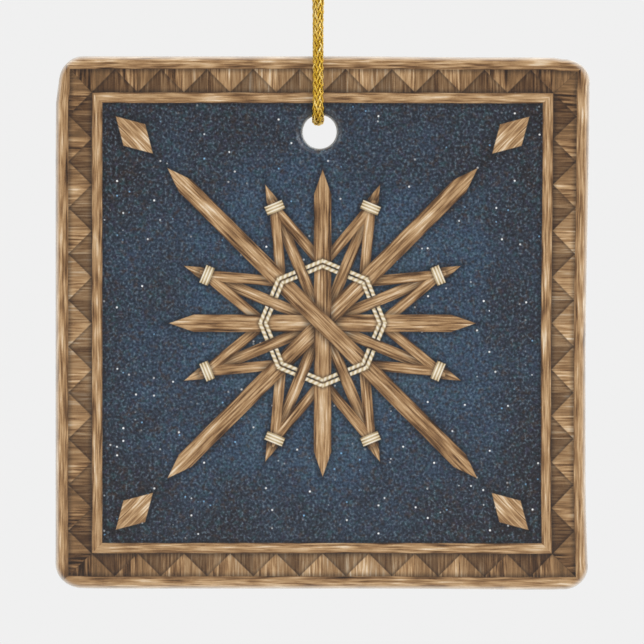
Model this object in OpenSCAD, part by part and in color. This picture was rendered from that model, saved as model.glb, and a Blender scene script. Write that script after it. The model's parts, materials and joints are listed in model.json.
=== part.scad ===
// Square ceramic hanging ornament: a thin glazed tile with a printed front, hung by a braided
// cord that goes through a hole near the top edge and is tied in a loop above it.
// Millimetres, +Z up, the printed front faces -Y. The origin is the middle of the hook or twig
// that the top of the loop hangs on.

/* [Tile] */
// Width of the tile
tile_w = 73; // [55:1:110]
// Height of the tile
tile_h = 73; // [55:1:110]
// Thickness of the tile
tile_t = 3.5; // [3:0.1:5]
// Radius of the tile's four corners, seen from the front
corner_r = 3.7; // [2:0.1:8]
// Radius of the softened edge round each face
edge_r = 0.8; // [0.3:0.1:1.2]
// Thickness of the printed coat on the front
print_t = 0.05; // [0.03:0.01:0.2]

/* [Hole] */
// Diameter of the hanging hole inside the tile
hole_d = 4.9; // [4:0.1:7]
// Radius of the rounded rim at each end of the hole
rim_r = 1.2; // [1:0.1:1.4]
// From the tile's top edge down to the middle of the hole
hole_drop = 10.3; // [8:0.1:16]
// How far the hole lies to the left of the tile's middle
hole_shift = 0.4; // [-2:0.1:2]

/* [Cord] */
// Diameter of the braided cord
cord_d = 1.45; // [1:0.05:1.8]
// Gap between the cord and the printed coat
cord_gap = 0.15; // [0.1:0.05:0.5]
// From the hook down to the middle of the hole
hang_drop = 60.3; // [40:0.1:90]
// From the tile's top edge up to the place where the cord bends as the tile nods
nod_rise = 5.5; // [5:0.1:9]
// Length of the stretch of cord that bends there
bend_len = 5; // [3:0.5:6]

/* [Knot] */
// Diameter of the knot inside its wraps
knot_core_d = 5; // [4:0.1:7]
// Number of wraps that show round the knot
knot_wraps = 4; // [2:1:5]
// Distance from one wrap to the next
wrap_pitch = 1.75; // [1.5:0.05:2.4]

/* [Hidden] */
$fn = 64;

// How far a cutter runs past the face that it leaves
cut_over = 1;
// Sides of the cord's tube, and the widest spacing of its rings in diameters
cord_sides = 8;
ring_spacing = 3;
// Step between rings where the cord turns over the rim of the hole, in degrees
turn_step = 22.5;

hole_r = hole_d / 2;
hole_z = -hang_drop;
tile_top = hole_z + hole_drop;
cord_r = cord_d / 2;

// The strands run straight up both faces of the tile, this far from its middle plane
strand_y = tile_t / 2 + print_t + cord_gap + cord_r;
// The rim's rounding has its centre here, and the cord turns over it about the same centre
rim_y = tile_t / 2 - rim_r;
rim_z = hole_z + hole_r + rim_r;
turn_r = strand_y - rim_y;

// Heights where one stretch of the cord ends and the next begins
nod_z = tile_top + nod_rise;
bend_low = nod_z - bend_len / 2;
bend_high = nod_z + bend_len / 2;

// Front half of the stretch over the hook: distance in from the strand's line, height above the hook
top_points = [[0, -2], [0, 0], [0.2, 1.4], [0.7, 2.7], [1.3, 3.8], [1.8, 4.8], [1.9, 5.6], [1.9, 6.2]];
top_low = top_points[0][1];
knot_low = top_points[len(top_points) - 1][1];
knot_inset = top_points[len(top_points) - 1][0];
knot_high = knot_low + knot_wraps * wrap_pitch;

// Front tail above the knot: distance out from the knot's strand, height above the knot
tail_points = [[0, 0], [0, 1.5], [0.3, 3], [0.9, 4.5], [1.8, 5.8], [3, 6.8]];
tail_y = strand_y - knot_inset;

// Points in the plane of the loop: y across the tile's thickness and z up
function in_plane(y, z) = [0, y, z];
function to_back(path) = [for (p = path) in_plane(-p[1], p[2])];
function reversed(path) = [for (i = [len(path) - 1:-1:0]) path[i]];

// Front strand from z0 up to z1, with rings at the widest spacing allowed
function straight(z0, z1) =
    let (steps = ceil((z1 - z0) / (ring_spacing * cord_d)))
    [for (i = [0:steps]) in_plane(-strand_y, z0 + (z1 - z0) * i / steps)];

// Front half of the turn through the hole, from its lowest point out to the strand
function turn() =
    [for (a = [90:-turn_step:turn_step]) in_plane(-rim_y - turn_r * cos(a), rim_z - turn_r * sin(a))];

// Ring of points round one point of a route, square to its direction there
function unit(v) = v / norm(v);
function direction(path, i) = unit(path[min(i + 1, len(path) - 1)] - path[max(i - 1, 0)]);
function ring(p, along) =
    let (side = [1, 0, 0], up = cross(along, side))
    [for (k = [0:cord_sides - 1])
        let (a = 360 * (k + 0.5) / cord_sides)
        p + cord_r * (cos(a) * side + sin(a) * up)];

// Tube of the cord's diameter along a route
module cord_tube(path) {
    n = cord_sides;
    last = len(path) - 1;
    rings = [for (i = [0:last]) ring(path[i], direction(path, i))];
    skin = [for (i = [0:last - 1], k = [0:n - 1])
        let (m = (k + 1) % n)
        [i * n + k, (i + 1) * n + k, (i + 1) * n + m, i * n + m]];
    start_cap = [for (k = [0:n - 1]) k];
    end_cap = [for (k = [n - 1:-1:0]) last * n + k];
    polyhedron([for (r = rings, p = r) p], concat(skin, [start_cap, end_cap]));
}

// The same tube on the front and on the back of the loop
module cord_pair(front) {
    cord_tube(front);
    cord_tube(to_back(front));
}

// Section through the tile's outer band: X outwards from the corner's centre, Y through the tile
module edge_section() {
    flat = tile_t / 2 - edge_r;
    translate([0, -tile_t / 2]) square([corner_r - edge_r, tile_t]);
    translate([0, -flat]) square([corner_r, 2 * flat]);
    for (s = [-1, 1]) translate([corner_r - edge_r, s * flat]) circle(r = edge_r);
}

// Tile lying flat with its middle at the origin and its front up
module plate() {
    inner_w = tile_w - 2 * corner_r;
    inner_h = tile_h - 2 * corner_r;
    translate([-inner_w / 2, -inner_h / 2, -tile_t / 2]) cube([inner_w, inner_h, tile_t]);
    for (quarter = [0:3]) {
        upright = quarter % 2 == 0;
        out = upright ? inner_w : inner_h;
        along = upright ? inner_h : inner_w;
        rotate([0, 0, 90 * quarter]) translate([out / 2, along / 2, 0]) {
            rotate([90, 0, 0]) linear_extrude(along) edge_section();
            rotate_extrude(angle = 90) edge_section();
        }
    }
}

// Everything that the hole takes out of a tile lying flat, round its own middle
module hole_cutter() {
    wall = tile_t / 2 - rim_r;
    rotate_extrude() difference() {
        translate([0, -tile_t / 2 - cut_over]) square([hole_r + rim_r, tile_t + 2 * cut_over]);
        translate([hole_r, -wall]) square([2 * rim_r, 2 * wall]);
        for (s = [-1, 1]) translate([hole_r + rim_r, s * wall]) circle(r = rim_r);
    }
}

// Flat part of the front, inside the softened edge
module front_outline() {
    r = corner_r - edge_r;
    w = tile_w - 2 * edge_r;
    h = tile_h - 2 * edge_r;
    square([w - 2 * r, h], center = true);
    square([w, h - 2 * r], center = true);
    for (x = [-1, 1], y = [-1, 1]) translate([x * (w / 2 - r), y * (h / 2 - r)]) circle(r = r);
}

// Place of the hole on a tile lying flat
module at_hole() {
    translate([-hole_shift, tile_h / 2 - hole_drop]) children();
}

// Stands a tile that lies flat upright under the loop, with its front towards -Y
module hung() {
    translate([hole_shift, 0, tile_top - tile_h / 2]) rotate([90, 0, 0]) children();
}

// Fired white clay with a clear glaze
module ceramic_tile() {
    color("whitesmoke") hung() difference() {
        plate();
        at_hole() hole_cutter();
    }
}

// Printed coat on the flat of the front, open round the hole's rim
module printed_face() {
    color("slategray") hung() translate([0, 0, tile_t / 2]) linear_extrude(print_t) difference() {
        front_outline();
        at_hole() circle(r = hole_r + rim_r);
    }
}

// Cord through the hole and up both faces of the tile
module cord_bight() {
    front = concat(turn(), straight(rim_z, bend_low));
    color("goldenrod") cord_tube(concat(reversed(to_back(front)), front));
}

// Short stretch of both strands that bends as the tile nods
module cord_bend() {
    color("goldenrod") cord_pair(straight(bend_low, bend_high));
}

// Both strands up to the hook
module cord_strands() {
    color("goldenrod") cord_pair(straight(bend_high, top_low));
}

// Both strands round the hook and into the knot
module cord_top() {
    color("goldenrod") cord_pair([for (p = top_points) in_plane(p[0] - strand_y, p[1])]);
}

// Overhand knot in the doubled cord
module cord_knot() {
    core_r = knot_core_d / 2;
    color("goldenrod") translate([0, 0, knot_low]) rotate_extrude() {
        square([core_r, knot_wraps * wrap_pitch]);
        for (i = [0:knot_wraps - 1]) translate([core_r, (i + 0.5) * wrap_pitch]) circle(r = cord_r);
    }
}

// Two cut ends above the knot
module cord_tails() {
    color("goldenrod") cord_pair([for (p = tail_points) in_plane(-tail_y - p[0], knot_high + p[1])]);
}

ceramic_tile();
printed_face();
cord_bight();
cord_bend();
cord_strands();
cord_top();
cord_knot();
cord_tails();
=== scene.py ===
import json
from math import copysign, cos, hypot, pi, radians, sin

import bmesh
import bpy
import numpy as np
from mathutils import Vector
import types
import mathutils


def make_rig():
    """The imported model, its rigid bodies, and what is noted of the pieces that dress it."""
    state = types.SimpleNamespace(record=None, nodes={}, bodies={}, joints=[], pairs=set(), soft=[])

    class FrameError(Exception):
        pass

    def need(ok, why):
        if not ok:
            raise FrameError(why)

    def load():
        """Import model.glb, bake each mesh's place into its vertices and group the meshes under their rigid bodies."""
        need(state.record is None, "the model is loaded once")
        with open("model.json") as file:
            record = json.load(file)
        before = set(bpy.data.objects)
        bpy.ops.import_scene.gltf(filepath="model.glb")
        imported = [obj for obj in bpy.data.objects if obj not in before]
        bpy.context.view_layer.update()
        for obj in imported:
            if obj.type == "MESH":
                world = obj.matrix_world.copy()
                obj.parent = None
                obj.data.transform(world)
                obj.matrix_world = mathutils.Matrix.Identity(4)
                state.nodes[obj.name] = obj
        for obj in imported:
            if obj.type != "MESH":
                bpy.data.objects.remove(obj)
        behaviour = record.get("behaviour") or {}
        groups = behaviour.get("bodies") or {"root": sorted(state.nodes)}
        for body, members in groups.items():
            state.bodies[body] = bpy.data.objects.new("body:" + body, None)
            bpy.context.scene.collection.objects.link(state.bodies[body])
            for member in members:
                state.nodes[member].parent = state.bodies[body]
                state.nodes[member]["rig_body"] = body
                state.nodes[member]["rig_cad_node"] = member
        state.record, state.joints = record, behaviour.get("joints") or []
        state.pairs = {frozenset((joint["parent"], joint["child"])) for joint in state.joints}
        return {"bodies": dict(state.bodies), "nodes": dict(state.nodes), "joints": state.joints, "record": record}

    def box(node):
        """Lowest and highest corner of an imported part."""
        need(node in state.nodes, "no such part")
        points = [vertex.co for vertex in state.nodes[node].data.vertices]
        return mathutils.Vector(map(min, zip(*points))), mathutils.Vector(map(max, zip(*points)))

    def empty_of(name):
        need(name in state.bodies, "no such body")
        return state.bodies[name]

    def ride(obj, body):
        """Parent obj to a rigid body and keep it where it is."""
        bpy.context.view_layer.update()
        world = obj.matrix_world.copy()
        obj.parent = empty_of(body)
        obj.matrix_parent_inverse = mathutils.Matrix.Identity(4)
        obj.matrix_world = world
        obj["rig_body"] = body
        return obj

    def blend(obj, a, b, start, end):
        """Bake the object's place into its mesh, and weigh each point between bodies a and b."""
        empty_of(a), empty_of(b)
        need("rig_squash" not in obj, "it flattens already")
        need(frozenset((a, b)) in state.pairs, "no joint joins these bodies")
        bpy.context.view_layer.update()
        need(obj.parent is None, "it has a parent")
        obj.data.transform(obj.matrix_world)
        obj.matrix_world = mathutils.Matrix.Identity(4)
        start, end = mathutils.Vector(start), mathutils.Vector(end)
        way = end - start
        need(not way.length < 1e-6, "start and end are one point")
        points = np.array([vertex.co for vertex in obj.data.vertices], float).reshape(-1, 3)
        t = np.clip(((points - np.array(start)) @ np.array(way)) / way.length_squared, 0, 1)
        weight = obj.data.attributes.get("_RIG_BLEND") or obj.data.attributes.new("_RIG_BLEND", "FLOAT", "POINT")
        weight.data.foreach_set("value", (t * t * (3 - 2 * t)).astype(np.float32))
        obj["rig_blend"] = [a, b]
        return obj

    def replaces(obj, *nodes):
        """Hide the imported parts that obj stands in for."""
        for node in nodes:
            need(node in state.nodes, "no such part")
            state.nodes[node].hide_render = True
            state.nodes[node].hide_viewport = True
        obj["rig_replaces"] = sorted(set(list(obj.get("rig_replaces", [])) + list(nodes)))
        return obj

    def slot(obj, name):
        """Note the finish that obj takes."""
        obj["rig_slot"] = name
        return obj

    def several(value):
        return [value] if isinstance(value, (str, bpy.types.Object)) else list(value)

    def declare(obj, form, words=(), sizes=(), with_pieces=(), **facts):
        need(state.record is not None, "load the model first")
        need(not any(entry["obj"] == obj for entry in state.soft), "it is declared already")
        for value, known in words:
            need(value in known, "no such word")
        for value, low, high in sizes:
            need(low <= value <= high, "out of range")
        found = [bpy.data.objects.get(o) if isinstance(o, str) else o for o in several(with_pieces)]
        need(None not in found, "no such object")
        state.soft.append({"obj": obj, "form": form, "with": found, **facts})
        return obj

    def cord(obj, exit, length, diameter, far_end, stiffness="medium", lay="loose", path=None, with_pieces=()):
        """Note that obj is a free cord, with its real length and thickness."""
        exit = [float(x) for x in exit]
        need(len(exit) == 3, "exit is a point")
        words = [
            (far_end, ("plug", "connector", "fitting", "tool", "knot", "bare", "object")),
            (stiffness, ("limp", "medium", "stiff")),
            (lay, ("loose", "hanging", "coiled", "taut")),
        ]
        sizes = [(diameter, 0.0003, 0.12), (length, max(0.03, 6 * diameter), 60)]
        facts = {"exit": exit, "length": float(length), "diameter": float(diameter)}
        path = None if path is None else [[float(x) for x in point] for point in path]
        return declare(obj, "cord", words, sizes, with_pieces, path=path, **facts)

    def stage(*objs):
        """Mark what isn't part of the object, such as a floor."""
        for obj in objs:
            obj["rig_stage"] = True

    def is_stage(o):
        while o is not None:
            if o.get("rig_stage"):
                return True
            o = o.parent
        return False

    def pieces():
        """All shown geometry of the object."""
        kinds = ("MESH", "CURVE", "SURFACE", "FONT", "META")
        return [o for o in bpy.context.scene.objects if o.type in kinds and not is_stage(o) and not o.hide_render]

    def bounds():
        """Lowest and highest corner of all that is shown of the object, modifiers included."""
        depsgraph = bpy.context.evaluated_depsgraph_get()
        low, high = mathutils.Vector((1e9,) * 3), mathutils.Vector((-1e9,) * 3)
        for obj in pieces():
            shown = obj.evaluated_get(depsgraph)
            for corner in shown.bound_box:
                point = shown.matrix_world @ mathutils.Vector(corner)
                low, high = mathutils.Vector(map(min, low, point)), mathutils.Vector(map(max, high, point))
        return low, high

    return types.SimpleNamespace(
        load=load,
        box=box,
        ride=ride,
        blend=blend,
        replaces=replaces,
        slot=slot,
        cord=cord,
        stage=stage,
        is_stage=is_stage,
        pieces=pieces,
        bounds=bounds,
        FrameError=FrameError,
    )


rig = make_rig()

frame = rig.load()
cad_low, cad_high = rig.bounds()

# The tile is white clay pressed in a mould: a thin square with round corners and one hole near the
# top edge. It is glazed all over and fired, and the glaze draws back from every edge as it melts,
# so the outline and the rim of the hole come out soft.
mm = 0.001
tile_low, tile_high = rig.box("ceramic_tile")
tile_middle = (tile_low + tile_high) / 2
tile_size = tile_high - tile_low
corner_r = 3.7 * mm
edge_r = 0.8 * mm
hole_middle = Vector(next(j["pos_m"] for j in frame["joints"] if j["name"] == "tile_sway"))
hole_r = 2.34 * mm
rim_r = 1.2 * mm

# Cuts part the flat faces into squares, so that the sides can draw in. They are counted from the
# hole's middle, and none goes through it.
cut_spacing = 4 * mm
cuts_across = [step for step in range(-8, 9) if step]
cuts_up = [step for step in range(-14, 2) if step]


def pick(piece, kind, wanted):
    """In edit mode, selects the edges or faces of a piece that are wanted, and nothing else."""
    bpy.ops.mesh.select_mode(type=kind)
    bpy.ops.mesh.select_all(action="DESELECT")
    shape = bmesh.from_edit_mesh(piece.data)
    for part in shape.edges if kind == "EDGE" else shape.faces:
        part.select_set(wanted(part))
    bmesh.update_edit_mesh(piece.data)


def take_up(piece):
    """Selects one piece and makes it the one that is worked on."""
    bpy.ops.object.select_all(action="DESELECT")
    piece.select_set(True)
    bpy.context.view_layer.objects.active = piece


def apply_modifier(piece, name, kind, **settings):
    """Adds a modifier to a piece and applies it at once."""
    take_up(piece)
    modifier = piece.modifiers.new(name, kind)
    for setting, value in settings.items():
        setattr(modifier, setting, value)
    bpy.ops.object.modifier_apply(modifier=name)


def smooth(piece):
    """Shades a piece smooth, with its large flat faces left flat."""
    piece.data.shade_smooth()
    apply_modifier(piece, "flat_faces", "WEIGHTED_NORMAL", weight=100)


def soft_step(value, low, high):
    """0 up to low, 1 from high on, and a soft step between them."""
    share = min(max((value - low) / (high - low), 0), 1)
    return share * share * (3 - 2 * share)


def runs_through(edge):
    """Whether an edge goes from the front of the tile to its back."""
    return abs(edge.verts[0].co.y - edge.verts[1].co.y) > 0.9 * tile_size.y


def beside_hole(edge):
    """Whether an edge is on the wall of the hole."""
    from_hole = (edge.verts[0].co + edge.verts[1].co) / 2 - hole_middle
    return hypot(from_hole.x, from_hole.z) < hole_r * 1.02


def sharp(edge):
    """Whether the faces beside an edge meet at a sharp angle."""
    return edge.calc_face_angle(0) > radians(45)


bpy.ops.object.select_all(action="DESELECT")
bpy.ops.mesh.primitive_cube_add(size=1, location=tile_middle, scale=tile_size)
tile = bpy.context.object
tile.name = "glazed_tile"
bpy.ops.object.transform_apply(location=True, rotation=True, scale=True)
bpy.ops.object.mode_set(mode="EDIT")
pick(tile, "EDGE", runs_through)
bpy.ops.mesh.bevel(offset=corner_r, segments=16, affect="EDGES")
for across, cuts in ((Vector((1, 0, 0)), cuts_across), (Vector((0, 0, 1)), cuts_up)):
    for cut in cuts:
        bpy.ops.mesh.select_all(action="SELECT")
        bpy.ops.mesh.bisect(plane_co=hole_middle + across * cut * cut_spacing, plane_no=across)
pick(tile, "EDGE", sharp)
bpy.ops.mesh.bevel(offset=edge_r, segments=6, affect="EDGES")
bpy.ops.object.mode_set(mode="OBJECT")
bpy.ops.object.select_all(action="DESELECT")
bpy.ops.mesh.primitive_cylinder_add(
    vertices=96, radius=hole_r, depth=4 * tile_size.y, location=hole_middle, rotation=(pi / 2, 0, 0)
)
drill = bpy.context.object
apply_modifier(tile, "hole", "BOOLEAN", operation="DIFFERENCE", solver="EXACT", object=drill)
bpy.data.objects.remove(drill)
bpy.ops.object.mode_set(mode="EDIT")
pick(tile, "EDGE", lambda edge: sharp(edge) and beside_hole(edge))
bpy.ops.mesh.bevel(offset=rim_r, segments=8, affect="EDGES")
bpy.ops.object.mode_set(mode="OBJECT")

# The clay draws in as it dries, most of all down the right side, so no side is quite straight, and
# three of the corners fill out a little. Each point keeps its place on the true square as a mark,
# because glaze and print follow the sides.
left_head_draw = 0.45 * mm
right_draw, right_foot_ease = 0.55 * mm, 0.32 * mm
top_right_draw, top_corner_draw = 0.14 * mm, 0.5 * mm
foot_draw, foot_right_ease, foot_corner_draw = 0.22 * mm, 0.16 * mm, 0.15 * mm
left_fills, right_fills = (0.25 * mm, 0), (0.5 * mm, 0.7 * mm)
true_square = np.array([point.co for point in tile.data.vertices])
square_marks = tile.data.attributes.new("true_square", "FLOAT_VECTOR", "POINT")
square_marks.data.foreach_set("vector", true_square.astype("f").ravel())
for point in tile.data.vertices:
    right = (point.co.x - tile_middle.x) / (tile_size.x / 2)
    high = (point.co.z - tile_middle.z) / (tile_size.z / 2)
    past_x = (abs(right) - 1) * tile_size.x / 2 + corner_r
    past_z = (abs(high) - 1) * tile_size.z / 2 + corner_r
    if past_x > 0 and past_z > 0:
        foot_fill, top_fill = right_fills if right > 0 else left_fills
        fill = top_fill if high > 0 else foot_fill
        fill = fill * (past_x + past_z - hypot(past_x, past_z)) / corner_r ** 2
        point.co.x += copysign(min(fill * past_x, corner_r - past_x), right)
        point.co.z += copysign(min(fill * past_z, corner_r - past_z), high)
    from_left = left_head_draw * soft_step(high, 0.8, 0.92)
    from_right = right_draw * (1 - soft_step(high, -0.2, 0.9))
    from_right -= right_foot_ease * (1 - soft_step(high, -1, -0.6))
    from_top = top_right_draw * soft_step(right, 0.1, 0.6)
    from_top += top_corner_draw * soft_step(right, 0.84, 0.96)
    from_foot = foot_draw - foot_right_ease * soft_step(right, 0.2, 0.9)
    from_foot += foot_corner_draw * soft_step(abs(right), 0.84, 0.96)
    point.co.x += from_left * max(-right, 0) ** 12 - from_right * max(right, 0) ** 4
    point.co.z += from_foot * max(-high, 0) ** 6 - from_top * max(high, 0) ** 6
tile_shape = tile.data.copy()
smooth(tile)


class Amount:
    """A number that differs from place to place on a surface. Sums of amounts become shader nodes."""

    def __init__(self, socket):
        self.socket = socket

    def reckon(self, operation, *others):
        """The result of one sum on this amount, and on others where the sum takes more than one."""
        node = self.socket.id_data.nodes.new("ShaderNodeMath")
        node.operation = operation
        for socket, value in zip(node.inputs, (self, *others)):
            feed(socket, value)
        return Amount(node.outputs[0])

    def __add__(self, other):
        return self.reckon("ADD", other)

    def __sub__(self, other):
        return self.reckon("SUBTRACT", other)

    def __rsub__(self, other):
        return self.reckon("MULTIPLY", -1) + other

    def __mul__(self, other):
        return self.reckon("MULTIPLY", other)

    def __truediv__(self, other):
        return self.reckon("DIVIDE", other)

    def __abs__(self):
        return self.reckon("ABSOLUTE")

    def least(self, other):
        return self.reckon("MINIMUM", other)

    def most(self, other):
        return self.reckon("MAXIMUM", other)

    def rise(self, low, high):
        """0 up to low, 1 from high on, and a soft step between them."""
        node = self.socket.id_data.nodes.new("ShaderNodeMapRange")
        node.interpolation_type = "SMOOTHSTEP"
        feed(node.inputs["Value"], self)
        feed(node.inputs["From Min"], low)
        feed(node.inputs["From Max"], high)
        return Amount(node.outputs["Result"])


def feed(socket, value):
    """Sets a shader socket to a plain value, or links an amount or another socket to it."""
    if isinstance(value, Amount):
        value = value.socket
    if isinstance(value, bpy.types.NodeSocket):
        socket.id_data.links.new(value, socket)
    else:
        socket.default_value = value


def colour(code):
    """Six hex digits of a colour, as the linear red, green and blue that shaders take."""
    shares = [int(code[k:k + 2], 16) / 255 for k in (0, 2, 4)]
    return (*(((s + 0.055) / 1.055) ** 2.4 for s in shares), 1)


def laid_over(under, over, share):
    """One colour with a share of another laid over it."""
    node = share.socket.id_data.nodes.new("ShaderNodeMix")
    node.data_type = "RGBA"
    feed(node.inputs[0], share)
    feed(node.inputs[6], under)
    feed(node.inputs[7], over)
    return node.outputs[2]


def toned(amount, stops):
    """The colour that an amount stands for on a scale of colours."""
    node = amount.socket.id_data.nodes.new("ShaderNodeValToRGB")
    scale = node.color_ramp.elements
    while len(scale) < len(stops):
        scale.new(0.5)
    for mark, (place, code) in zip(scale, stops):
        mark.position = place
        mark.color = colour(code)
    feed(node.inputs["Fac"], amount)
    return node.outputs["Color"]


def split(place):
    """The three amounts that a place or a colour is made of."""
    node = place.id_data.nodes.new("ShaderNodeSeparateXYZ")
    feed(node.inputs[0], place)
    return [Amount(socket) for socket in node.outputs]


def clouds(place, size, detail=2.0):
    """Soft clouds of that size: an amount round 0.5, and a colour that drifts in the same way."""
    node = place.id_data.nodes.new("ShaderNodeTexNoise")
    feed(node.inputs["Vector"], place)
    feed(node.inputs["Scale"], 1 / size)
    feed(node.inputs["Detail"], detail)
    return Amount(node.outputs["Fac"]), node.outputs["Color"]


def mottle(place, size, detail=2.0):
    """The amount of the clouds alone."""
    return clouds(place, size, detail)[0]


def cells(place, size):
    """How far a place is from the nearest of some scattered seeds, and that seed's own colour."""
    node = place.id_data.nodes.new("ShaderNodeTexVoronoi")
    feed(node.inputs["Vector"], place)
    feed(node.inputs["Scale"], 1 / size)
    return Amount(node.outputs["Distance"]) * size, node.outputs["Color"]


def finish_for(piece, name, marks=None):
    """Starts a finish on a piece. Gives its shader and the places on the piece, in millimetres from
    the tile's middle, which come from the piece's own marks if it has any."""
    material = bpy.data.materials.new(name)
    material.use_nodes = True
    piece.data.materials.clear()
    piece.data.materials.append(material)
    nodes = material.node_tree.nodes
    if marks:
        source = nodes.new("ShaderNodeAttribute")
        source.attribute_name = marks
    else:
        source = nodes.new("ShaderNodeTexCoord")
    mapping = nodes.new("ShaderNodeMapping")
    mapping.inputs["Scale"].default_value = (1 / mm,) * 3
    mapping.inputs["Location"].default_value = -tile_middle / mm
    feed(mapping.inputs["Vector"], source.outputs["Vector" if marks else "Object"])
    return nodes["Principled BSDF"], mapping.outputs["Vector"]


def raise_relief(shader, height, depth):
    """Lets an amount stand up from a surface, by as much as depth where it is 1."""
    node = shader.id_data.nodes.new("ShaderNodeBump")
    node.inputs["Distance"].default_value = depth
    feed(node.inputs["Height"], height)
    feed(shader.inputs["Normal"], node.outputs["Normal"])


def inside_outline(across, up):
    """How far inside the tile's outline a place is, in millimetres."""
    past_x = abs(across) - (tile_size.x / 2 - corner_r) / mm
    past_z = abs(up) - (tile_size.z / 2 - corner_r) / mm
    round_x, round_z = past_x.most(0), past_z.most(0)
    past = (round_x * round_x + round_z * round_z).reckon("SQRT") + past_x.most(past_z).least(0)
    return corner_r / mm - past


def outside_hole(across, up):
    """How far outside the wall of the hole a place is, in millimetres."""
    off_x = across - (hole_middle.x - tile_middle.x) / mm
    off_z = up - (hole_middle.z - tile_middle.z) / mm
    return (off_x * off_x + off_z * off_z).reckon("SQRT") - hole_r / mm


def glaze(piece):
    """White glaze, thin on the rounded edges, where the warmer clay shows through a little."""
    shader, place = finish_for(piece, "white_glaze", "true_square")
    across, through, up = split(place)
    from_edge = inside_outline(across, up).least(outside_hole(across, up))
    thin = (1 - from_edge.rise(0.1, 0.7)) * abs(through).rise(0.7, 1.4)
    from_pinhole, _ = cells(place, 7)
    pinhole = 1 - from_pinhole.rise(0.05, 0.16)
    white = toned(mottle(place, 14), [(0.3, "F2F0EC"), (0.7, "F5F3EF")])
    warm_clay, pinhole_grey = colour("DCCDB2"), colour("C9C2B4")
    white = laid_over(white, warm_clay, thin * mottle(place, 2, 3))
    feed(shader.inputs["Base Color"], laid_over(white, pinhole_grey, pinhole))
    feed(shader.inputs["Roughness"], mottle(place, 2.5) * 0.12 + 0.1)
    raise_relief(shader, mottle(place, 5) - pinhole * 0.5, 0.03 * mm)


glaze(tile)
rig.ride(tile, "tile")
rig.replaces(tile, "ceramic_tile")
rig.slot(tile, "white_glaze")

# The front is printed edge to edge. The colours are baked into a thin clear coat that wraps a little
# way over the soft edges and into the rim of the hole, and thins away there to the white. The print
# is a straw star, of the kind tied for windows and trees, on blue glitter in a straw border.
print_low, print_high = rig.box("printed_face")
print_t = print_high.y - print_low.y
straw_tones = [(0.0, "33241A"), (0.25, "715236"), (0.5, "A7825A"), (0.75, "CDAA80"), (1.0, "F0DCC0")]
thread_tones = [(0.0, "8C7450"), (0.5, "D8C39B"), (1.0, "F7EEDC")]
glitter_tones = [(0.05, "475D6C"), (0.35, "394D64"), (0.6, "323B49"), (0.95, "2D2A2E")]
fleck_tones = [("3D646B", 0.4), ("453F5A", 0.4), ("4A3B33", 0.6)]
grain_dark, grain_light = colour("0E0F12"), colour("8096A5")
sparkle_blue, sparkle_white = colour("7FB4DE"), colour("FFFFFF")
tooth_dark, tooth_shade = colour("4A3424"), colour("8A6A48")
shadow_ink = colour("14161B")
bare_white = colour("F4F2ED")
straw_rng = np.random.default_rng(12)

# The coat is cut from a copy of the tile's shape: only faces that look far enough forward carry print
least_forward = 0.25
coat = bpy.data.objects.new("printed_coat", tile_shape)
bpy.context.scene.collection.objects.link(coat)
take_up(coat)
bpy.ops.object.mode_set(mode="EDIT")
pick(coat, "FACE", lambda face: face.normal.y >= -least_forward)
bpy.ops.mesh.delete(type="FACE")
bpy.ops.object.mode_set(mode="OBJECT")
apply_modifier(coat, "coat_thickness", "SOLIDIFY", thickness=print_t, offset=1)
smooth(coat)

# Places on the print: across and up from the tile's middle, outwards from it, and round it
shader, place = finish_for(coat, "printed_coat", "true_square")
across_tile, _, up_tile = split(place)
out = (across_tile * across_tile + up_tile * up_tile).reckon("SQRT")
bearing = up_tile.reckon("ARCTAN2", across_tile)


def joined(x, y, z):
    """A place made of three amounts, the first of which is no plain number."""
    node = x.socket.id_data.nodes.new("ShaderNodeCombineXYZ")
    for socket, value in zip(node.inputs, (x, y, z)):
        feed(socket, value)
    return node.outputs[0]


def lay(picture, inside, ink, lift=0.9, shade=0.6):
    """Lays a shape on the picture, with its shadow. Inside is the depth of a point in it, in mm."""
    picture = laid_over(picture, shadow_ink, inside.rise(-lift, 0.1) * shade)
    return laid_over(picture, ink, inside.rise(-0.06, 0.1))


def straw(along, across, half_width, number):
    """Colour of a flattened straw: round across and darker at its edges, with fibres along it. Straws
    of different numbers have different fibres."""
    fibres = mottle(joined(across * 4, along * 0.22, number), 1, 4)
    blotches = mottle(joined(across * 0.6, along * 0.25, number), 1, 1)
    edge = across / half_width
    light = fibres * 1.7 + blotches * 0.6 - 0.54 - edge * edge * 0.36
    return toned(light, straw_tones)


def glitter():
    """Fine blue glitter, teal and lighter in the middle and charcoal outside, with a few sparkles."""
    ground = toned(mottle(place, 8, 3) * 0.9 + out * 0.021 - 0.45, glitter_tones)
    _, drift = clouds(place, 0.7)
    for fleck, (tone, share) in zip(split(drift), fleck_tones):
        ground = laid_over(ground, colour(tone), fleck.rise(0.5, 0.75) * share)
    grain = mottle(place, 0.36)
    ground = laid_over(ground, grain_dark, 0.6 - grain.rise(0.32, 0.56) * 0.6)
    ground = laid_over(ground, grain_light, grain.rise(0.52, 0.78) * 0.5)
    from_flake, flake = cells(place, 0.85)
    bright, pale, _ = split(flake)
    sparkle = (1 - from_flake.rise(0.06, 0.2)) * bright.rise(0.78, 0.95)
    return laid_over(ground, laid_over(sparkle_blue, sparkle_white, pale), sparkle)


def turned(degrees):
    """Distances along and across a line through the tile's middle."""
    c, s = cos(radians(degrees)), sin(radians(degrees))
    return across_tile * c + up_tile * s, up_tile * c - across_tile * s


def long_straw(picture, degrees, reach, half_width, point):
    """A whole straw across the star, cut to a point at both ends."""
    along, across = turned(degrees)
    taper = (reach - abs(along)) * (half_width / point)
    inside = taper.least(half_width) - abs(across)
    ink = straw(along, across, half_width, float(straw_rng.uniform(0, 90)))
    return lay(picture, inside, ink), inside


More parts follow.
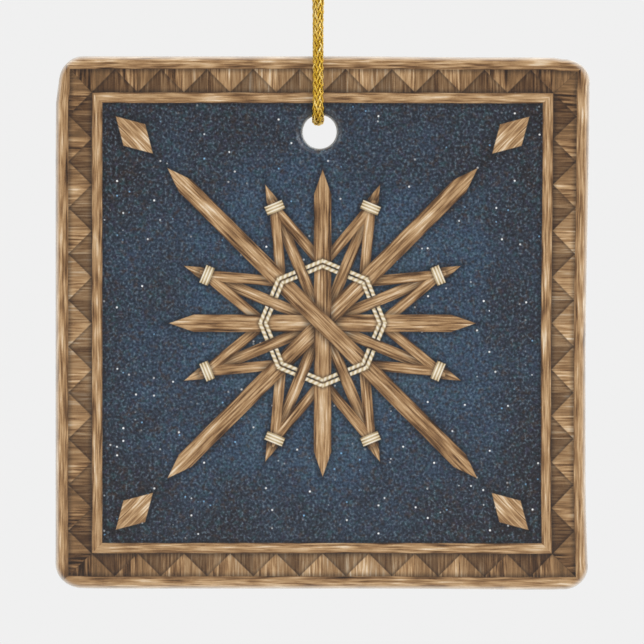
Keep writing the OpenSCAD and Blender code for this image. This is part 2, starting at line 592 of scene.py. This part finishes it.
# Short straws lie lowest. On them lie the ones that lean out from each ray to meet their neighbours,
# and on top lie the rays, of which every other one is longer.
ray_angle = 45
short_reach, short_half_width, short_point = 20.5, 0.8, 2.4
lean_start, lean_length, lean_half_width, lean = 8, 11.2, 0.72, radians(40)
ray_reaches, ray_half_width, ray_point = (21, 30, 21, 30), 1.2, 3.4
picture = glitter()
between_rays = None
for k in range(4):
    degrees = ray_angle * (k + 0.5)
    picture, inside = long_straw(picture, degrees, short_reach, short_half_width, short_point)
    between_rays = inside if between_rays is None else between_rays.most(inside)
ray = (bearing / radians(ray_angle)).reckon("ROUND")
from_ray = bearing - ray * radians(ray_angle)
down_ray = out * from_ray.reckon("COSINE") - lean_start
off_ray = out * from_ray.reckon("SINE")
along = down_ray * cos(lean) + abs(off_ray) * sin(lean)
across = abs(off_ray) * cos(lean) - down_ray * sin(lean)
inside = (lean_half_width - abs(across)).least(along + 0.4).least(lean_length - along)
number = ray * 7.3 + off_ray.rise(-0.1, 0.1) * 31
picture = lay(picture, inside, straw(along, across, lean_half_width, number))
for k, reach in enumerate(ray_reaches):
    picture, _ = long_straw(picture, ray_angle * k, reach, ray_half_width, ray_point)

# Thread binds the straws in two rounds near the middle, which go under the short straws, and wraps
# them where the leaning ones meet
round_rs, round_half_width = (7.2, 7.9), 0.27
wrap_r, wrap_half_length, wrap_half_width = 17.1, 0.62, 1.3
gap = (bearing / radians(ray_angle)).reckon("FLOOR") + 0.5
from_gap = bearing - gap * radians(ray_angle)
down_gap = out * from_gap.reckon("COSINE")
off_gap = out * from_gap.reckon("SINE")
for round_r in round_rs:
    off_round = down_gap - round_r
    ply = (off_gap * 9 + off_round * 5).reckon("SINE") * 0.3 + 0.75
    thread = toned(ply - off_round * off_round * 6, thread_tones)
    inside = (round_half_width - abs(off_round)).least(0.02 - between_rays)
    picture = lay(picture, inside, thread, lift=0.5)
off_wrap = down_gap - wrap_r
turns = (off_wrap * 15).reckon("SINE") * 0.35 + 0.7
thread = toned(turns - off_gap * off_gap * 0.25, thread_tones)
inside = (wrap_half_length - abs(off_wrap)).least(wrap_half_width - abs(off_gap))
picture = lay(picture, inside, thread, lift=0.6)

# A two-toned lozenge in each corner
lozenge_out, lozenge_half_length, lozenge_half_width = 36.4, 3.6, 2.1
to_corner = (abs(across_tile) + abs(up_tile)) * cos(pi / 4) - lozenge_out
off_corner = (abs(across_tile) - abs(up_tile)) * cos(pi / 4)
inside = (1 - abs(to_corner) / lozenge_half_length - abs(off_corner) / lozenge_half_width) * 1.7
half = off_corner.rise(-0.05, 0.05)
ink = straw(to_corner, abs(off_corner) - 0.6, half * 1.5 + 1.6, half * 40)
picture = lay(picture, inside, ink)

# Border: two long strips with a row of teeth between them, light outside and dark inside. The outer
# strip runs on past the outline.
half_tile = tile_size.x / 2 / mm
tooth_low, tooth_high, border_end, bleed = 1.75, 4.95, 6.4, 1
teeth_each_way = 5.5
from_edge = half_tile - abs(across_tile).most(abs(up_tile))
on_side = abs(across_tile).reckon("GREATER_THAN", abs(up_tile))
along_edge = across_tile + on_side * (up_tile - across_tile)
side = on_side * 17 + (across_tile + up_tile).reckon("GREATER_THAN", 0) * 41
teeth_along = along_edge / ((half_tile - tooth_low) / teeth_each_way) + 0.5
in_tooth = teeth_along.reckon("FRACT") - 0.5
tooth = teeth_along.reckon("FLOOR")
half = in_tooth.rise(-0.01, 0.01)
dark_straw = straw(from_edge, along_edge, 30, tooth * 3.7 + side)
dark_straw = laid_over(dark_straw, tooth_dark, half * 0.22 + 0.5)
light_straw = straw(from_edge, along_edge, 30, tooth * 5.1 + side + 60)
light_straw = laid_over(light_straw, tooth_shade, half * 0.5)
picture = lay(picture, (from_edge - tooth_low).least(tooth_high - from_edge), dark_straw)
height = (from_edge - tooth_low) / (tooth_high - tooth_low)
picture = lay(picture, (1 - height - abs(in_tooth) * 2) * 2.1, light_straw, lift=0.5, shade=0.5)
for strip_low, strip_high in ((-bleed, tooth_low), (tooth_high, border_end)):
    half_width = (strip_high - strip_low) / 2
    off_strip = from_edge - (strip_low + half_width)
    ink = straw(along_edge, off_strip, half_width * 1.1, side + strip_high * 20)
    picture = lay(picture, half_width - abs(off_strip), ink, lift=0.8)

# The colours thin away to white at the outline and at the hole
printed = inside_outline(across_tile, up_tile).rise(-0.3, 0.62)
printed = printed.least(outside_hole(across_tile, up_tile).rise(-0.4, 0.42))
feed(shader.inputs["Base Color"], laid_over(bare_white, picture, printed))
feed(shader.inputs["Roughness"], mottle(place, 1.8) * 0.14 + 0.2)
raise_relief(shader, mottle(place, 1.1), 0.006 * mm)
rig.ride(coat, "tile")
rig.replaces(coat, "printed_face")
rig.slot(coat, "printed_coat")

# The hanging cord is one length of round braid: sixteen flat gold yarns, eight wound each way round
# a thin core, each going over two and under two. It goes through the hole, both strands run up to
# the hook, and above it they are tied together in an overhand knot with two short ends.
cord_d = 1.45 * mm
cord_gap = 0.15 * mm
cord_step = 0.14 * mm
strand_x = -0.22 * mm
strand_y = tile_size.y / 2 + print_t + cord_gap + cord_d / 2
strand_top = -5 * mm
turn_rise = 3.65 * mm
turn_y = tile_size.y / 2 - rim_r
turn_z = hole_middle.z + turn_rise
turn_r = strand_y - turn_y
front_stray, back_stray = 0.25 * mm, -0.16 * mm
stray_low, stray_high = -47 * mm, -37 * mm
bend_low, bend_high = (corner.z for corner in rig.box("cord_bend"))
knot_low, knot_high = (corner.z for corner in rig.box("cord_knot"))
knot_y = 0.775 * mm
knot_reach = 4.4 * mm
knot_step, fine_step = 0.7 * mm, 0.1 * mm
top_route = [(0, -2), (0, 0), (0.2, 1.4), (0.7, 2.7), (1.2, 3.6)]
tail_route = [(0.3, 3), (0.9, 4.5), (1.8, 5.8), (3, 6.8)]
loose_knot = [
    (0, 0, -13), (0, 0, -11), (0.2, 0.7, -6.2), (2.9, 1.4, -2.2), (5, 1.7, 1.7), (2.6, 1.7, 5.5),
    (-1.7, 1.2, 5.8), (-5, 0, 2.6), (-4.8, -1.9, -1.9), (-1.7, -3.1, -5.3), (2.6, -2.2, -5.5),
    (5.8, 1, -3.4), (4.8, 4.6, -0.7), (1.4, 4.1, 1.2), (-0.5, 0.7, 2.2), (-0.5, -1.9, 5.3),
    (0, -1.2, 8.6), (0, 0, 12), (0, 0, 14),
]


def evenly(line, step):
    """Points along a line at an even spacing, as near to step as its length allows."""
    run = np.r_[0, np.cumsum(np.linalg.norm(np.diff(line, axis=0), axis=1))]
    marks = np.linspace(0, run[-1], round(run[-1] / step) + 1)
    return np.stack([np.interp(marks, run, line[:, k]) for k in range(3)], axis=1)


def curve_through(points, step):
    """A smooth line through some points, in even steps."""
    points = np.array(points, float)
    points = np.vstack([2 * points[0] - points[1], points, 2 * points[-1] - points[-2]])
    share = np.linspace(0, 1, 40, endpoint=False)[:, None]
    line = []
    for a, b, c, d in zip(points, points[1:], points[2:], points[3:]):
        bow = (2 * a - 5 * b + 4 * c - d) * share ** 2 + (3 * b - a - 3 * c + d) * share ** 3
        line.append(b + ((c - a) * share + bow) / 2)
    return evenly(np.vstack([*line, points[-2:-1]]), step)


def headings(line):
    """Direction of a line at each of its points."""
    ahead = np.gradient(line, axis=0)
    return ahead / np.linalg.norm(ahead, axis=1)[:, None]


def carried(ahead, side):
    """A sideways direction carried along a line without twisting."""
    sides = []
    for heading in ahead:
        side = side - heading * (side @ heading)
        side = side / np.linalg.norm(side)
        sides.append(side)
    return np.array(sides)


def tied_loosely():
    """Front and back strand of a loose overhand knot, side by side all the way."""
    middle = curve_through(np.array(loose_knot) * mm, fine_step)
    ahead = headings(middle)
    side = carried(ahead, np.array([0, -1.0, 0]))
    other = np.cross(ahead, side)
    twist = np.arctan2(-other[-1, 1], -side[-1, 1]) * np.linspace(0, 1, len(middle))[:, None]
    apart = (side * np.cos(twist) + other * np.sin(twist)) * knot_y
    return evenly(middle + apart, knot_step), evenly(middle - apart, knot_step)


def drawn_tight(front, back, pulls=760, shorter=0.999, springiness=0.04, near=5):
    """The same knot after its ends are pulled: the cord in it gets shorter, and its turns close up
    until they lie against each other. Points up to near apart on a strand may be closer."""
    cord = np.vstack([front, back])
    strand = np.arange(len(cord)) >= len(front)
    a, b = np.triu_indices(len(cord), 1)
    apart = (strand[a] != strand[b]) | (b - a > near)
    a, b = a[apart], b[apart]
    links = np.flatnonzero(strand[1:] == strand[:-1])
    ends = [0, len(front) - 1, len(front), len(cord) - 1]
    held = cord[ends].copy()
    link = np.linalg.norm(cord[1] - cord[0])
    for _ in range(pulls):
        link *= shorter
        for these in (links[::2], links[1::2]):
            reach = cord[these + 1] - cord[these]
            length = np.linalg.norm(reach, axis=1)[:, None]
            slack = reach * (length - link) / length / 2
            cord[these] += slack
            cord[these + 1] -= slack
        cord[1:-1] += springiness * ((cord[:-2] + cord[2:]) / 2 - cord[1:-1])
        reach = cord[b] - cord[a]
        gap = np.linalg.norm(reach, axis=1)
        close = gap < cord_d
        shove = reach[close] * ((cord_d - gap[close]) / gap[close] / 4)[:, None]
        np.add.at(cord, b[close], shove)
        np.add.at(cord, a[close], -shove)
        cord[ends] = held
    return cord[:len(front)], cord[len(front):]


def half_route(knotted, front):
    """Route of one strand in metres, from the middle of the hole up to its cut end. Above the tile it
    strays a little to one side. Every third point of the knot is enough for it."""
    turn_angles = [pi / 2, 3 * pi / 8, pi / 4, pi / 8]
    turn = [(strand_x, -turn_y - turn_r * cos(a), turn_z - turn_r * sin(a)) for a in turn_angles]
    stray = front_stray if front else back_stray
    strand = [
        (strand_x + stray * soft_step(z, stray_low, stray_high), -strand_y, z)
        for z in np.linspace(turn_z, strand_top, 10)
    ]
    top = [(strand_x + stray, inset * mm - strand_y, z * mm) for inset, z in top_route]
    tail = [(0, -knot_y - away * mm, knot_high + z * mm) for away, z in tail_route]
    flip = np.array([1, 1 if front else -1, 1])
    knot = knotted[abs(knotted[:, 2]) < knot_reach] + [0, 0, (knot_low + knot_high) / 2]
    return np.vstack([np.array(turn + strand + top) * flip, knot[::3], np.array(tail) * flip])


# The whole cord as one smooth line from cut end to cut end, with its sideways directions
smoothings = 14
front_knot, back_knot = drawn_tight(*tied_loosely())
back_half = half_route(back_knot, False)
whole_cord = curve_through(np.vstack([back_half[::-1], half_route(front_knot, True)]), cord_step)
for _ in range(smoothings):
    whole_cord[1:-1] = (whole_cord[:-2] + 2 * whole_cord[1:-1] + whole_cord[2:]) / 4
lowest = int(np.argmin(whole_cord[:, 2]))
cord_ahead = headings(whole_cord)
sideways = np.array([1.0, 0, 0])
cord_side = np.vstack([
    carried(cord_ahead[lowest::-1], sideways)[::-1], carried(cord_ahead[lowest + 1:], sideways)
])
cord_up = np.cross(cord_ahead, cord_side)

# Sizes of the braid. Its cut ends taper, and it is pressed a little flat where it turns in the hole.
yarns_each_way = 8
yarn_lead = 8.8 * mm
yarn_r, weave_depth = 0.54 * mm, 0.13 * mm
yarn_half_width, yarn_half_thickness = 0.165 * mm, 0.1 * mm
yarn_points = 6
core_r = 0.44 * mm
core_points = 12
core_number = -9
tip_length, tip_taper = 0.9 * mm, 0.4
pressed_near, pressed_far = 1.8 * mm, 4.8 * mm
pressed_wider, pressed_thinner = 0.14, 0.1


def tube(rings, run, number):
    """A closed tube through rings of points: its points, its faces, and two marks for each corner of
    each face, which are the tube's number plus the share of the way round, and the run in mm."""
    count, points = rings.shape[:2]
    numbers = np.arange(count * points).reshape(count, points)
    onward = np.roll(numbers, -1, axis=1)
    skin = np.stack([numbers[:-1], numbers[1:], onward[1:], onward[:-1]], axis=-1)
    marks = np.empty((*skin.shape, 2))
    marks[..., 0] = number + (np.arange(points)[:, None] + [0, 0, 1, 1]) / points
    marks[..., 1] = np.stack([run[:-1], run[1:], run[1:], run[:-1]], axis=-1)[:, None] / mm
    ends = np.tile([number + 0.5, run[0] / mm], (2 * points, 1))
    ends[points:, 1] = run[-1] / mm
    faces = skin.reshape(-1, 4).tolist() + [numbers[0].tolist(), numbers[-1][::-1].tolist()]
    return rings.reshape(-1, 3), faces, np.vstack([marks.reshape(-1, 2), ends])


def braid(first, last):
    """Tubes of the yarns and of the core from one point of the cord's line to another."""
    at = np.arange(first, last + 1)
    run = at * cord_step
    line, side, up = whole_cord[at], cord_side[at], cord_up[at]
    from_tip = np.minimum(at, len(whole_cord) - 1 - at) * cord_step
    size = 1 - tip_taper * np.clip(1 - from_tip / tip_length, 0, 1) ** 2
    from_hole = abs(at - lowest) * cord_step
    pressed = np.clip((pressed_far - from_hole) / (pressed_far - pressed_near), 0, 1)
    side = side * (size * (1 + pressed_wider * pressed))[:, None]
    up = up * (size * (1 - pressed_thinner * pressed))[:, None]
    around = 2 * pi * np.arange(yarn_points)[:, None] / yarn_points
    for yarn in range(2 * yarns_each_way):
        way = 1 if yarn < yarns_each_way else -1
        angle = 2 * pi * (way * run / yarn_lead + yarn / yarns_each_way)
        over = way * np.cos(pi * (yarn + way * yarns_each_way * run / yarn_lead - 0.25))
        out = side * np.cos(angle)[:, None] + up * np.sin(angle)[:, None]
        middle = line + out * (yarn_r + weave_depth * over)[:, None]
        out = out / np.linalg.norm(out, axis=1)[:, None]
        width = np.cross(headings(middle), out) * (yarn_half_width * size)[:, None]
        thickness = out * (yarn_half_thickness * size)[:, None]
        rings = middle[:, None] + width[:, None] * np.cos(around) + thickness[:, None] * np.sin(around)
        yield tube(rings, run, yarn)
    around = 2 * pi * np.arange(core_points)[:, None] / core_points
    rings = line[:, None] + (side[:, None] * np.cos(around) - up[:, None] * np.sin(around)) * core_r
    yield tube(rings, run, core_number)


def cord_piece(name, first, last):
    """One stretch of the cord as a piece, with its marks kept as a map on it."""
    points, faces, marks = [], [], []
    for tube_points, tube_faces, tube_marks in braid(first, last):
        faces += [[number + len(points) for number in face] for face in tube_faces]
        points += tube_points.tolist()
        marks.append(tube_marks)
    shape = bpy.data.meshes.new(name)
    shape.from_pydata(points, [], faces)
    shape.uv_layers.new(name="yarns").data.foreach_set("uv", np.vstack(marks).astype("f").ravel())
    shape.shade_smooth()
    piece = bpy.data.objects.new(name, shape)
    bpy.context.scene.collection.objects.link(piece)
    return piece


def gild(piece):
    """Gold foil wound round each yarn, with fine slanting edges, over a dull brown core whose dark colour is also
    painted shade in the gaps between the yarns.
    """
    shader, _ = finish_for(piece, "gold_cord")
    yarn_map = shader.id_data.nodes.new("ShaderNodeUVMap")
    yarn_map.uv_map = "yarns"
    round_yarn, run, _ = split(yarn_map.outputs["UV"])
    yarn = round_yarn.reckon("FLOOR")
    is_yarn = yarn.reckon("GREATER_THAN", -1)
    foil = mottle(joined(round_yarn * 9 + run * 2.2, run * 0.9, yarn * 3.7), 1, 3)
    own = mottle(joined(yarn * 5.3, run * 0.12, 0), 1, 1)
    gold_tones = [(0.15, "946C04"), (0.5, "E8C048"), (0.85, "FFF4C0")]
    gold = toned(foil * 0.9 + own * 0.8 - 0.35, gold_tones)
    # The core's dark brown is partly its own colour and partly painted shade for the gaps between the yarns
    core_brown_and_gap_shade = colour("3A2402")
    feed(shader.inputs["Base Color"], laid_over(core_brown_and_gap_shade, gold, is_yarn))
    feed(shader.inputs["Metallic"], is_yarn * 0.92)
    feed(shader.inputs["Roughness"], 0.72 - is_yarn * (0.54 - foil * 0.26))
    raise_relief(shader, foil, 0.03 * mm)


# The cord is cut into pieces a little above the place where it bends as the tile nods
join_z = bend_high + 2 * mm
front_join = lowest + int(np.argmax(whole_cord[lowest:, 2] > join_z))
back_join = lowest - int(np.argmax(whole_cord[lowest::-1, 2] > join_z))
cord_front = cord_piece("gold_cord_front", front_join, len(whole_cord) - 1)
cord_back = cord_piece("gold_cord_back", 0, back_join)
cord_turn = cord_piece("gold_cord_turn", back_join, front_join)
twist_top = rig.box("cord_strands")[1].z
for piece, far_end, route in (
    (cord_front, "knot", whole_cord[front_join:]),
    (cord_back, "knot", whole_cord[back_join::-1]),
    (cord_turn, "object", whole_cord[back_join:front_join + 1]),
):
    gild(piece)
    if piece is cord_turn:
        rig.blend(piece, "upper_cord", "lower_cord", start=(0, 0, bend_high), end=(0, 0, bend_low))
        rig.replaces(piece, "cord_bend", "cord_bight")
    else:
        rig.blend(piece, "hanger", "upper_cord", start=(0, 0, twist_top), end=(0, 0, join_z + 2 * mm))
        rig.replaces(piece, "cord_strands", "cord_top", "cord_knot", "cord_tails")
    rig.slot(piece, "gold_cord")
    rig.cord(
        piece, exit=route[0], length=len(route) * cord_step, diameter=cord_d, far_end=far_end,
        stiffness="limp", lay="taut", path=route
    )

# The floor is a wide round sheet of pale card, as a studio has. It lies well below the hanging
# ornament and stays out of the picture from the front.
floor_drop = 0.35
floor_r = 3.5
bpy.ops.object.select_all(action="DESELECT")
bpy.ops.mesh.primitive_circle_add(
    vertices=128, radius=floor_r, fill_type="NGON", location=(0, 0, -floor_drop)
)
floor = bpy.context.object
floor.name = "studio_floor"
bpy.ops.object.transform_apply(location=True, rotation=True, scale=True)
shader, place = finish_for(floor, "pale_floor")
feed(shader.inputs["Base Color"], toned(mottle(place, 90), [(0.3, "E2E1DF"), (0.7, "E6E5E3")]))
feed(shader.inputs["Roughness"], mottle(place, 8) * 0.2 + 0.6)
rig.stage(floor)

# Two soft boxes light the front from both sides, the right one a little more, and a third one behind
# the ornament keeps its back and its edges clear of shade. None of them shows in the picture.
box_width = 0.8
for name, spot, watts in (
    ("key_box", (0.75, -0.75, 0.45), 5),
    ("fill_box", (-0.95, -0.45, 0.3), 3),
    ("back_box", (0.5, 0.8, 0.35), 3),
):
    bpy.ops.object.light_add(type="AREA", location=Vector(spot) + tile_middle)
    lamp = bpy.context.object
    lamp.name = name
    lamp.data.size = box_width
    lamp.data.energy = watts
    lamp.rotation_euler = Vector(spot).to_track_quat("Z", "Y").to_euler()
    lamp.visible_camera = False

# The camera stands back from the tile with a long lens and looks square at its front. It stands a
# hair left of the tile's middle and above it, as the picture's framing needs.
view_width = 88.03 * mm
camera_away = 0.9
camera_left, camera_above = 0.085 * mm, 0.17 * mm
camera_spot = (tile_middle.x - camera_left, tile_low.y - camera_away, tile_middle.z + camera_above)
bpy.ops.object.camera_add(location=camera_spot, rotation=(pi / 2, 0, 0))
camera = bpy.context.object
camera.data.sensor_width = 36
camera.data.lens = camera.data.sensor_width * camera_away / view_width
bpy.context.scene.camera = camera

# The room is white all round. Its wall shows as an even pale grey behind the ornament, but the walls
# light the ornament less than that, and a broad panel overhead lights it and the floor from above.
wall_seen, wall_light, panel_light = 0.871, 0.26, 1.1
room = bpy.data.worlds.new("studio")
room.use_nodes = True
bpy.context.scene.world = room
wall = room.node_tree.nodes["Background"]
wall.inputs["Color"].default_value = (1, 1, 1, 1)
seen = Amount(room.node_tree.nodes.new("ShaderNodeLightPath").outputs["Is Camera Ray"])
_, _, upwards = split(room.node_tree.nodes.new("ShaderNodeTexCoord").outputs["Generated"])
panel = upwards.rise(0.5, 0.85)
feed(wall.inputs["Strength"], seen * wall_seen + (1 - seen) * (panel * panel_light + wall_light))
bpy.context.scene.view_settings.view_transform = "Standard"

dressed_low, dressed_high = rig.bounds()
with open("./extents.json", "w") as sizes:
    boxes = {"cad": [list(cad_low), list(cad_high)], "visual": [list(dressed_low), list(dressed_high)]}
    json.dump(boxes, sizes)
